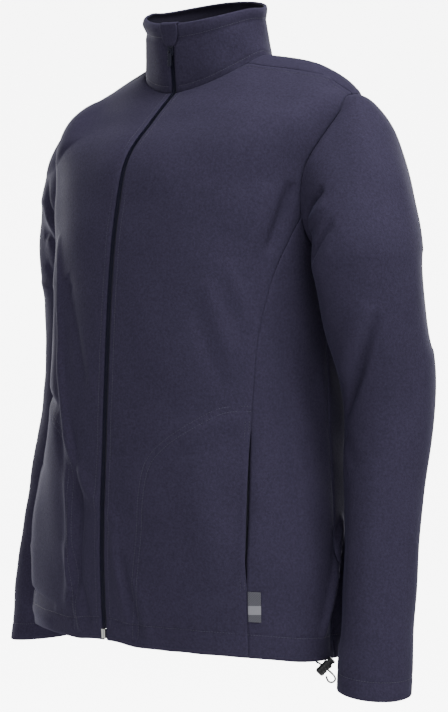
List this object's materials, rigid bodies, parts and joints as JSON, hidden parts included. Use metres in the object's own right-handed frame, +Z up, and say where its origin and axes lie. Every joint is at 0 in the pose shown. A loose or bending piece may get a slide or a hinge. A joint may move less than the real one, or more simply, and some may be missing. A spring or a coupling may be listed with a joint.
{
  "type": "fleece zip jacket",
  "caption": "Worn-shape fleece jacket with a stand collar, full-length front zip, seam pockets and an elastic drawcord lock at the hem.",
  "frame": {"origin": "middle of the neck at the height of the highest shoulder point, where the wearer's neck and shoulders hold the jacket", "axes": "+Z up, the front of the jacket faces -Y, +X is the wearer's left"},
  "size_m": [0.637, 0.3098, 0.8177],
  "materials": {
    "fleece": "navy brushed polyester fleece",
    "label": "grey woven tape",
    "zip_tape": "navy woven polyester tape",
    "zip_coil": "navy nylon coil",
    "painted_zinc": "dark navy enamel on die-cast zinc",
    "nickel": "bright nickel",
    "moulded_plastic": "black moulded plastic",
    "elastic_cord": "black covered elastic"
  },
  "bodies": {
    "root": {"front_left": "fleece", "front_right": "fleece", "side_left": "fleece", "side_right": "fleece", "back": "fleece", "sleeve_left": "fleece", "sleeve_right": "fleece", "collar": "fleece", "zip_garage": "fleece", "pocket_bag_left": "fleece", "pocket_bag_right": "fleece", "side_label": "label", "zip_tape_left": "zip_tape", "zip_tape_right": "zip_tape", "zip_coil_left": "zip_coil", "zip_coil_right": "zip_coil", "zip_slider": "painted_zinc", "zip_box": "nickel", "zip_pin": "nickel", "cord_lock_barrel": "moulded_plastic", "hem_cord": "elastic_cord"},
    "pull": {"zip_pull": "painted_zinc"},
    "plunger": {"cord_lock_plunger": "moulded_plastic"}
  },
  "joints": [
    {"name": "pull_swing", "type": "hinge", "parent": "root", "child": "pull", "pos_m": [0, -0.06398, 0.0065], "axis": [-1, 0, 0], "range_deg": [0, 110]},
    {"name": "plunger_press", "type": "slide", "parent": "root", "child": "plunger", "axis": [-0.5171, -0.4821, -0.7072], "range_m": [0, 0.003], "stiffness_N_per_m": 600, "springref_m": -0.002}
  ]
}
